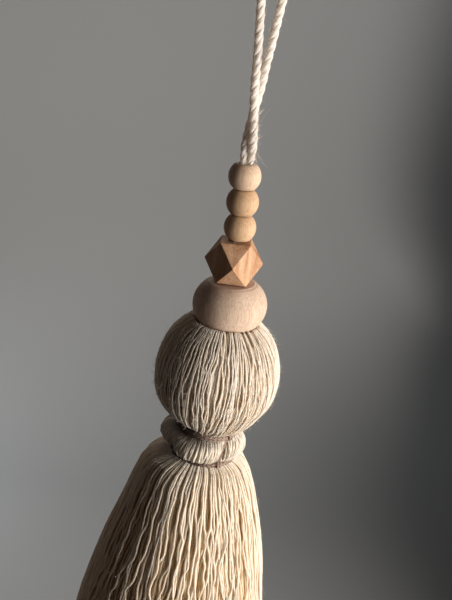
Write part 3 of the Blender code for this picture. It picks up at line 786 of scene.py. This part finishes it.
# The yarns under them fill the gaps.
DEEP_YARNS = 190
DEEP_ROWS = 30
DEEP_SHAPE = (DEEP_YARNS, DEEP_ROWS)
deep_share = np.broadcast_to(np.linspace(0.02, 0.98, DEEP_ROWS), DEEP_SHAPE)
deep_angle = spaced(DEEP_YARNS, 0.4)[:, None] + 0.5 * wander(DEEP_SHAPE, 5.0) / HEAD_WANDER_R
deep_line = ball_point(deep_angle, deep_share, YARN_R + 1.5 + 0.3 * wander(DEEP_SHAPE, 4.0))
deep_out = unit(deep_line - HEAD_CENTRE)
deep_size = np.full(DEEP_SHAPE, 1.1 * YARN_R)
# Painted shade: the under yarns take more of the deep colour than the yarns over them.
deep_tone = draw.uniform(0.6, 1.2, DEEP_YARNS)
put_yarns("head_under_yarns", deep_line, deep_out, deep_size, yarn_finish, deep_tone)

# Packed yarn. Under the loose outer yarns the head, neck and skirt are solid with more of the same yarn,
# painted straw-brown as the shade between them.
PACKED_LIGHT = (0.94, 0.82, 0.60)
PACKED_DEEP = (0.78, 0.63, 0.42)
PACKED_AROUND = 120
packed_finish = cotton(
    "packed_cotton_yarn", PACKED_LIGHT, PACKED_DEEP, twist=YARN_TWIST, plies=2, sheen=0.1, through=0.0
)
# The neck's four grooves, each under an upright stitch: (top, bottom) degrees from the front towards +X.
UPRIGHTS = ((-64.0, -58.0), (49.0, 34.0), (122.0, 116.0), (202.0, 198.0))
NECK_BULGE = 6.9
# Half widths of the grooves in degrees, from the front towards +X.
GROOVE_CLEARS = (4.5, 6.0, 6.0, 10.0)
# How much deeper the upper and lower bindings bite at the front left than elsewhere.
UPPER_BITE = 4.2
LOWER_BITE = 2.9
SKIRT_LENGTH = 152.0
# Skirt: (drop below the lower binding, outer radius, shift along X).
SKIRT_ROWS = (
    (-1.2, 16.6, -1.4),
    (0.6, 17.6, -1.4),
    (2.6, 22.6, -1.8),
    (8.0, 28.0, -2.8),
    (18.0, 32.5, -2.7),
    (32.0, 36.9, -2.6),
    (59.0, 44.5, -3.4),
    (87.0, 50.5, -4.5),
    (118.0, 55.2, -5.2),
    (SKIRT_LENGTH, 59.0, -5.8),
)


def bitten_in(angle):
    """Share of its full bite that a binding has at an angle: deepest between the front and the -X side."""
    return np.clip(np.cos(angle + 0.9), 0.0, 1.0) ** 1.5


def neck_lobes(angle, fall):
    """0 in the groove of each upright stitch and 1 between two: a half sine to the power 0.42."""
    tops = np.sort([top % 360.0 for top, _ in UPRIGHTS])
    bottoms = np.sort([bottom % 360.0 for _, bottom in UPRIGHTS])
    degrees = np.degrees(angle) % 360.0
    lobe = np.zeros(np.broadcast(angle, fall).shape)
    for k in range(len(UPRIGHTS)):
        start = tops[k] + (bottoms[k] - tops[k]) * fall
        following = (k + 1) % len(UPRIGHTS)
        stop = tops[following] + (bottoms[following] - tops[following]) * fall
        width = (stop - start) % 360.0 - GROOVE_CLEARS[k] - GROOVE_CLEARS[following]
        along_lobe = ((degrees - start) % 360.0 - GROOVE_CLEARS[k]) / width
        inside = np.clip(along_lobe, 0.0, 1.0)
        lobe = np.maximum(lobe, np.where(along_lobe <= 1.0, np.sin(math.pi * inside) ** 0.42, 0.0))
    return lobe


def neck_point(angle, fall, inward):
    """Points of the neck: its bound radius, and a bulge between the bindings wherever no stitch holds it.

    The bindings bite deepest between the front and the -X side.
    """
    bitten = bitten_in(angle)
    free = np.clip((fall - 0.07 - 0.22 * bitten) / (0.89 - 0.32 * bitten), 0.0, 1.0)
    middle = np.sin(math.pi * free) ** 0.5
    bulge = NECK_BULGE * (1.0 - 0.04 * np.sin(angle)) * middle * neck_lobes(angle, fall)
    bite = (UPPER_BITE + 0.2) * np.clip(1.9 - 6.0 * fall, 0.0, 1.0)
    bite = bite + (LOWER_BITE + 0.2) * np.clip(7.0 * fall - 5.8, 0.0, 1.0)
    radius = NECK_R - 0.2 + bulge - inward - bite * bitten
    z = UPPER_TIE_Z + (LOWER_TIE_Z - UPPER_TIE_Z) * fall
    x = NECK_SHIFT + radius * np.sin(angle)
    return columns(x, -radius * np.cos(angle), np.broadcast_to(z, x.shape))


def skirt_point(angle, drop, inward):
    """Points of the skirt at angles from the front, drops below the lower binding, and depths inside it."""
    radius, shift = np.moveaxis(smooth_rows(drop, SKIRT_ROWS), -1, 0)
    fall = np.clip(drop / SKIRT_LENGTH, 0.0, 1.0)
    uneven = 1.0 + fall * (0.016 * np.sin(3 * angle + 0.5) + 0.01 * np.sin(7 * angle + 1.7))
    drawn = (LOWER_BITE + 1.0) * bitten_in(angle) * np.clip(1.0 - drop / 4.5, 0.0, 1.0)
    radius = radius * uneven - inward - drawn
    x = shift + radius * np.sin(angle)
    return columns(x, -radius * np.cos(angle), np.broadcast_to(LOWER_TIE_Z - drop, x.shape))


def shell(name, points):
    """A closed skin over rows of points (rows, around, 3), its first and last rows closed by flat faces."""
    rows, around = points.shape[:2]
    index = np.arange(rows * around).reshape(rows, around)
    following = np.roll(index, -1, axis=1)
    quads = columns(index[:-1], index[1:], following[1:], following[:-1]).reshape(-1, 4)
    ends = np.stack((index[0], index[-1, ::-1]))
    return mesh_of(name, points.reshape(-1, 3), [quads, ends])


def packed(point, start, stop, rows, inward):
    """Rows of points all round at even steps of one of the shapes above, at a depth inside it."""
    around = np.arange(PACKED_AROUND) * math.tau / PACKED_AROUND
    angle, step = np.meshgrid(around, np.linspace(start, stop, rows))
    return point(angle, step, inward)


packed_rows = np.concatenate(
    (
        packed(ball_point, 0.02, 0.97, 40, 2.3),
        packed(neck_point, 0.04, 0.96, 12, 1.3),
        packed(skirt_point, 0.0, 140.0, 36, 3.1),
    )
)
packed_mesh = shell("packed_yarn", packed_rows)
put(packed_mesh, [packed_finish], "cotton_yarn", "tassel_yarn")

# Neck yarns. Below the ball the same yarns are drawn in by the upper binding, puff out in four lobes
# between the stitches, and are drawn in again by the lower binding.
NECK_YARNS = 215
NECK_WANDER_R = 20.0
# Painted shade: the neck's yarn is the same cotton painted a little darker than the head's, for the ball's
# shade. Its near-black deep colour is painted shade beside the bindings.
NECK_LIGHT = (0.97, 0.95, 0.88)
NECK_DEEP_AND_SHADE = (0.28, 0.21, 0.15)
neck_finish = cotton("neck_yarn_painted_shade", NECK_LIGHT, NECK_DEEP_AND_SHADE, twist=YARN_TWIST, plies=2)
NECK_ROWS = 22
NECK_SHAPE = (NECK_YARNS, NECK_ROWS)
neck_fall = np.broadcast_to(np.linspace(-0.06, 1.06, NECK_ROWS), NECK_SHAPE)
neck_angle = spaced(NECK_YARNS, 0.7)[:, None] - 0.10 * (neck_fall - 0.5)
neck_angle = neck_angle + 0.7 * wander(NECK_SHAPE, 3.5) / NECK_WANDER_R
neck_depth = YARN_R + 0.3 + 0.45 * wander(NECK_SHAPE, 4.0)
neck_line = neck_point(neck_angle, neck_fall, neck_depth)
neck_out = unit(neck_line * (1.0, 1.0, 0.0) - np.array((NECK_SHIFT, 0.0, 0.0)))
# Painted shade: the yarn is darker beside the bindings where they bite deepest, as the shade in the recesses
# under the ball and above the skirt.
neck_recess_shade = np.clip(2.1 - 6.0 * neck_fall, 0.0, 1.0) + np.clip(7.0 * neck_fall - 5.6, 0.0, 1.0)
neck_tone = draw.uniform(-0.15, 0.25, (NECK_YARNS, 1)) + 1.1 * neck_recess_shade * bitten_in(neck_angle)
neck_size = np.full(NECK_SHAPE, 0.92 * YARN_R)
put_yarns("neck_yarns", neck_line, neck_out, neck_size, neck_finish, neck_tone)

# Skirt. Below the lower binding the yarns hang free and flare out. They keep the waves that they had on the
# cone, so they part, cross and come to the surface in turn. The hem is cut by hand, nearly level.
SKIRT_YARNS = 490
SKIRT_ROWS_EACH = 62
SKIRT_SHAPE = (SKIRT_YARNS, SKIRT_ROWS_EACH)
SKIRT_WANDER_R = 42.0
SKIRT_MIDDLE_X = -3.0
SKIRT_PIECES = 4
SKIRT_LIGHT = (1.0, 0.97, 0.89)
SKIRT_DEEP = (0.95, 0.84, 0.62)
skirt_finish = cotton("skirt_cotton_yarn", SKIRT_LIGHT, SKIRT_DEEP, twist=YARN_TWIST, plies=2)
hem = SKIRT_LENGTH - np.abs(draw.normal(0.0, 1.3, (SKIRT_YARNS, 1)))
skirt_t = np.linspace(0.0, 1.0, SKIRT_ROWS_EACH)
skirt_drop = -1.0 + (hem + 1.0) * (0.25 * skirt_t**2 + 0.75 * skirt_t)
skirt_angle = spaced(SKIRT_YARNS, 1.0)[:, None]
# Three yarns in ten lie on top of the rest, and wave the most. The others lie at two depths under them.
layer = np.mod(np.arange(SKIRT_YARNS) * GOLDEN_STEP + draw.uniform(0.0, 0.15, SKIRT_YARNS), 1.0)[:, None]
on_top = (layer < LOOSE_SHARE).astype(float)
wave = 0.9 * wander(SKIRT_SHAPE, 4.0) + 1.1 * wander(SKIRT_SHAPE, 9.0)
wave = wave + 0.8 * wander(SKIRT_SHAPE, 17.0) + 0.5 * wander(SKIRT_SHAPE, 28.0)
grown = np.clip(skirt_drop / 25.0, 0.0, 1.0)
skirt_angle = skirt_angle + wave * (1.0 + 0.35 * on_top) * (0.38 + 0.62 * grown) / SKIRT_WANDER_R
sunk = np.clip(0.5 + 0.8 * wander(SKIRT_SHAPE, 4.0), 0.0, 1.0)
skirt_size = YARN_R * (0.72 + 0.23 * grown + 0.1 * on_top)
skirt_size = skirt_size * (1.0 + 0.14 * wander(SKIRT_SHAPE, 30.0))
under = np.where(layer < 0.65, 0.9 + 0.8 * sunk, 1.9 + 1.0 * sunk)
skirt_depth = skirt_size + np.where(on_top > 0.5, 1.0 * sunk - 0.6, under)
skirt_line = skirt_point(skirt_angle, skirt_drop, skirt_depth)
skirt_out = unit(skirt_line * (1.0, 1.0, 0.0) - np.array((SKIRT_MIDDLE_X, 0.0, 0.0)))
# Painted shade: the deeper a yarn lies, the more of the golden deep colour it takes, so the gaps are painted
# straw-gold. Near the binding all yarns are lighter, and the rest of the tone differs at random.
skirt_tone = 0.35 * draw.uniform(0.0, 1.0, (SKIRT_YARNS, 1)) + 0.5 * (skirt_depth - YARN_R)
skirt_tone = np.clip(skirt_tone - 0.1 - 0.5 * (1.0 - grown), -0.6, 1.2)
put_yarns("skirt_yarns", skirt_line, skirt_out, skirt_size, skirt_finish, skirt_tone, SKIRT_PIECES)

# Inner yarns. The bundle is full of the same cotton yarn all the way in. These are bound in with the outer
# yarns and show only where all of them are cut, at the hem.
INNER_RINGS = (0.93, 0.86, 0.78, 0.70, 0.61, 0.52, 0.43, 0.34, 0.25, 0.16, 0.07)
INNER_ROWS = 8
INNER_TOP = 112.0
INNER_R = 0.95
inner_lines = []
for ring in INNER_RINGS:
    ring_count = round(ring * 110) + 4
    ring_length = SKIRT_LENGTH - INNER_TOP - np.abs(draw.normal(0.0, 1.6, (ring_count, 1)))
    ring_drop = INNER_TOP + np.linspace(0.0, 1.0, INNER_ROWS) * ring_length
    ring_angle = spaced(ring_count, 0.8)[:, None] + wander((ring_count, INNER_ROWS), 2.0) * 0.02
    outer = smooth_rows(ring_drop, SKIRT_ROWS)[..., 0]
    inner_lines.append(skirt_point(ring_angle, ring_drop, outer * (1.0 - ring)))
inner_line = np.concatenate(inner_lines)
inner_out = np.broadcast_to(np.array((0.0, -1.0, 0.0)), inner_line.shape)
inner_size = np.full(inner_line.shape[:2], INNER_R)
inner_tone = draw.uniform(0.0, 1.0, len(inner_line))
put_yarns("inner_yarns", inner_line, inner_out, inner_size, skirt_finish, inner_tone)

# Binding. Brown thread of two plies goes three times round the top of the neck and twice round its foot.
# Four stitches of two turns each run down the neck between them, hitched round both rings.
TIE_R = 17.6
THREAD_R = 0.65
THREAD_LIGHT = (0.39, 0.28, 0.22)
THREAD_DEEP_AND_SHADE = (0.09, 0.06, 0.045)
THREAD_ROWS = 100
THREAD_SIDES = 8
RING_PITCH = 1.24
thread_finish = cotton(
    "brown_thread", THREAD_LIGHT, THREAD_DEEP_AND_SHADE, twist=2.2, plies=2, raise_plies=1.0, bump=0.6, roughness=0.6,
    through=0.1,
)
# Turns of thread: (line, ways away from the neck, share of the full bite, which also sets the painted shade
# on the thread).
threads = []


def on_neck(angle, out, z):
    """Points at angles from the front on the bound neck, and the ways that face away from it there."""
    facing = columns(np.sin(angle), -np.cos(angle), np.zeros_like(angle))
    place = facing * np.asarray(out)[..., None] + np.array((NECK_SHIFT, 0.0, 0.0))
    place[..., 2] = z
    return place, facing


for level, turns, first, bite in ((UPPER_TIE_Z, 3, 0.7, UPPER_BITE), (LOWER_TIE_Z, 2, 2.9, LOWER_BITE)):
    for turn_number in range(turns):
        a = first + np.linspace(0.0, 1.012, THREAD_ROWS) * math.tau
        offset = (turns - 1) / 2 - turn_number
        wobble = 0.12 * np.sin(3 * a + 2.1 * turn_number) + 0.08 * np.sin(7 * a + 1.3 * turn_number)
        ring_out = TIE_R + THREAD_R + 0.05 * np.sin(5 * a + turn_number) - bite * bitten_in(a)
        line, facing = on_neck(a, ring_out, level - 0.4 + RING_PITCH * offset + wobble)
        threads.append((line, facing, bitten_in(a)))
for top_deg, bottom_deg in UPRIGHTS:
    for thread_side in (-0.55, 0.55):
        t = np.linspace(0.0, 1.0, THREAD_ROWS)
        a = np.radians(top_deg + (bottom_deg - top_deg) * t)
        a = a + thread_side / TIE_R + 0.012 * np.sin(9 * t + thread_side)
        out = TIE_R + THREAD_R - 1.2 + 2.3 * np.abs(2 * t - 1) ** 6
        out = out - (UPPER_BITE * (1.0 - t) + LOWER_BITE * t) * bitten_in(a)
        z = UPPER_TIE_Z + 0.9 + (LOWER_TIE_Z - UPPER_TIE_Z - 1.6) * t
        line, facing = on_neck(a, out, z)
        threads.append((line, facing, bitten_in(a)))
    for level, tall, hitch_deg, bite in (
        (UPPER_TIE_Z, 2.25, top_deg, UPPER_BITE),
        (LOWER_TIE_Z, 1.75, bottom_deg, LOWER_BITE),
    ):
        for loop_number in range(2):
            t = np.linspace(0.0, math.tau * 1.02, THREAD_ROWS)
            a = math.radians(hitch_deg) + (1.15 * (loop_number - 0.5) + 0.5 * np.sin(t / 2)) / TIE_R
            out = TIE_R + 0.45 + 1.35 * np.cos(t) - bite * bitten_in(a)
            line, facing = on_neck(a, out, level + tall * np.sin(t))
            along_ring = columns(np.cos(a), np.sin(a), np.zeros_like(a))
            threads.append((line, along_ring, bitten_in(a)))
thread_lines, thread_outs, thread_painted_shade = (np.array(group) for group in zip(*threads))
thread_size = np.full(thread_lines.shape[:2], THREAD_R)
# Painted shade: the thread turns near black where the bindings bite deepest, at the front left.
thread_tone = draw.uniform(-0.1, 0.3, (len(thread_lines), 1)) + 1.3 * thread_painted_shade
thread_mesh = tubes(
    "neck_binding_thread", thread_lines, thread_outs, thread_size, THREAD_SIDES, thread_tone
)
put(thread_mesh, [thread_finish], "binding_thread", "neck_binding")

# Fluff. Cotton is spun from short fibres, and their loose ends stand off the rope, the head and the skirt.
# Each is held in its yarn at one end, and curls and thins towards the other.
FIBRE_R = 0.085
FIBRE_ROWS = 4
FIBRE_LIGHT = (0.97, 0.93, 0.86)
FIBRE_DEEP = (0.90, 0.84, 0.74)
# Below this height the rope's legs have rubbed on each other, and fibres stand out to the right.
RUBBED_Z = -92.0


def fluff(name, roots, ways, lengths, slot, finish, *nodes):
    """Fine curved fibres: root + way * length * t + a random bend * t squared, each tapering to its tip."""
    count = len(roots)
    t = np.linspace(0.0, 1.0, FIBRE_ROWS)[None, :, None]
    bends = draw.normal(0.0, 0.45, (count, 1, 3)) * lengths[:, None, None]
    curls = draw.normal(0.0, 0.18, (count, 1, 3)) * lengths[:, None, None]
    line = roots[:, None] + ways[:, None] * lengths[:, None, None] * t + bends * t**2 + curls * np.sin(5 * t)
    reference = np.broadcast_to(unit(draw.normal(0.0, 1.0, (count, 1, 3))), line.shape)
    taper = np.broadcast_to(FIBRE_R * (1.0 - 0.75 * t[..., 0]), line.shape[:2])
    put(tubes(name, line, reference, taper, 3, np.zeros(count)), [finish], slot, *nodes)


fibre_finish = cotton("loose_cotton_fibre", FIBRE_LIGHT, FIBRE_DEEP, twist=5.0, plies=1, bump=0.0)
rope_pick = np.concatenate(
    (draw.integers(0, len(centre), 800), draw.choice(np.flatnonzero(centre[:, 2] < RUBBED_Z), 700))
)
rope_pick = rope_pick[centre[rope_pick, 2] > -LOOP_DROP + 1.0]
rope_turn = draw.uniform(0.0, math.tau, len(rope_pick))
rope_ways = np.cos(rope_turn)[:, None] * sideways[rope_pick] + np.sin(rope_turn)[:, None] * across[rope_pick]
rubbed = (centre[rope_pick, 2] < RUBBED_Z).astype(float)[:, None]
rope_ways = unit(rope_ways + 1.2 * rubbed * np.array((1.0, 0.0, 0.0)))
rope_lengths = (1.0 + 0.3 * rubbed[:, 0]) * draw.gamma(2.5, 0.55, len(rope_pick))
rope_roots = centre[rope_pick] + 1.6 * rope_ways
rope_run = along[rope_pick] * draw.choice((-1, 1), (len(rope_pick), 1))
fibre_ways = unit(rope_ways + 0.9 * rope_run)
fluff("rope_fluff", rope_roots, fibre_ways, rope_lengths, "cotton_rope", fibre_finish, "hanging_cord")
for fluff_name, line, outs, count in (
    ("head_fluff", head_line, head_out, 3100),
    ("skirt_fluff", skirt_line, skirt_out, 2500),
):
    which = draw.integers(0, line.shape[0], count)
    row = draw.integers(8, line.shape[1] - 4, count)
    running = unit(np.gradient(line, axis=1)[which, row])
    ways = 0.6 * outs[which, row] + running * draw.uniform(-1.0, 1.0, (count, 1))
    ways = unit(ways + draw.normal(0, 0.25, (count, 3)))
    roots = line[which, row] + 0.5 * outs[which, row]
    lengths = draw.gamma(3.0, 0.38, count)
    fluff(fluff_name, roots, ways, lengths, "cotton_yarn", fibre_finish, "tassel_yarn")
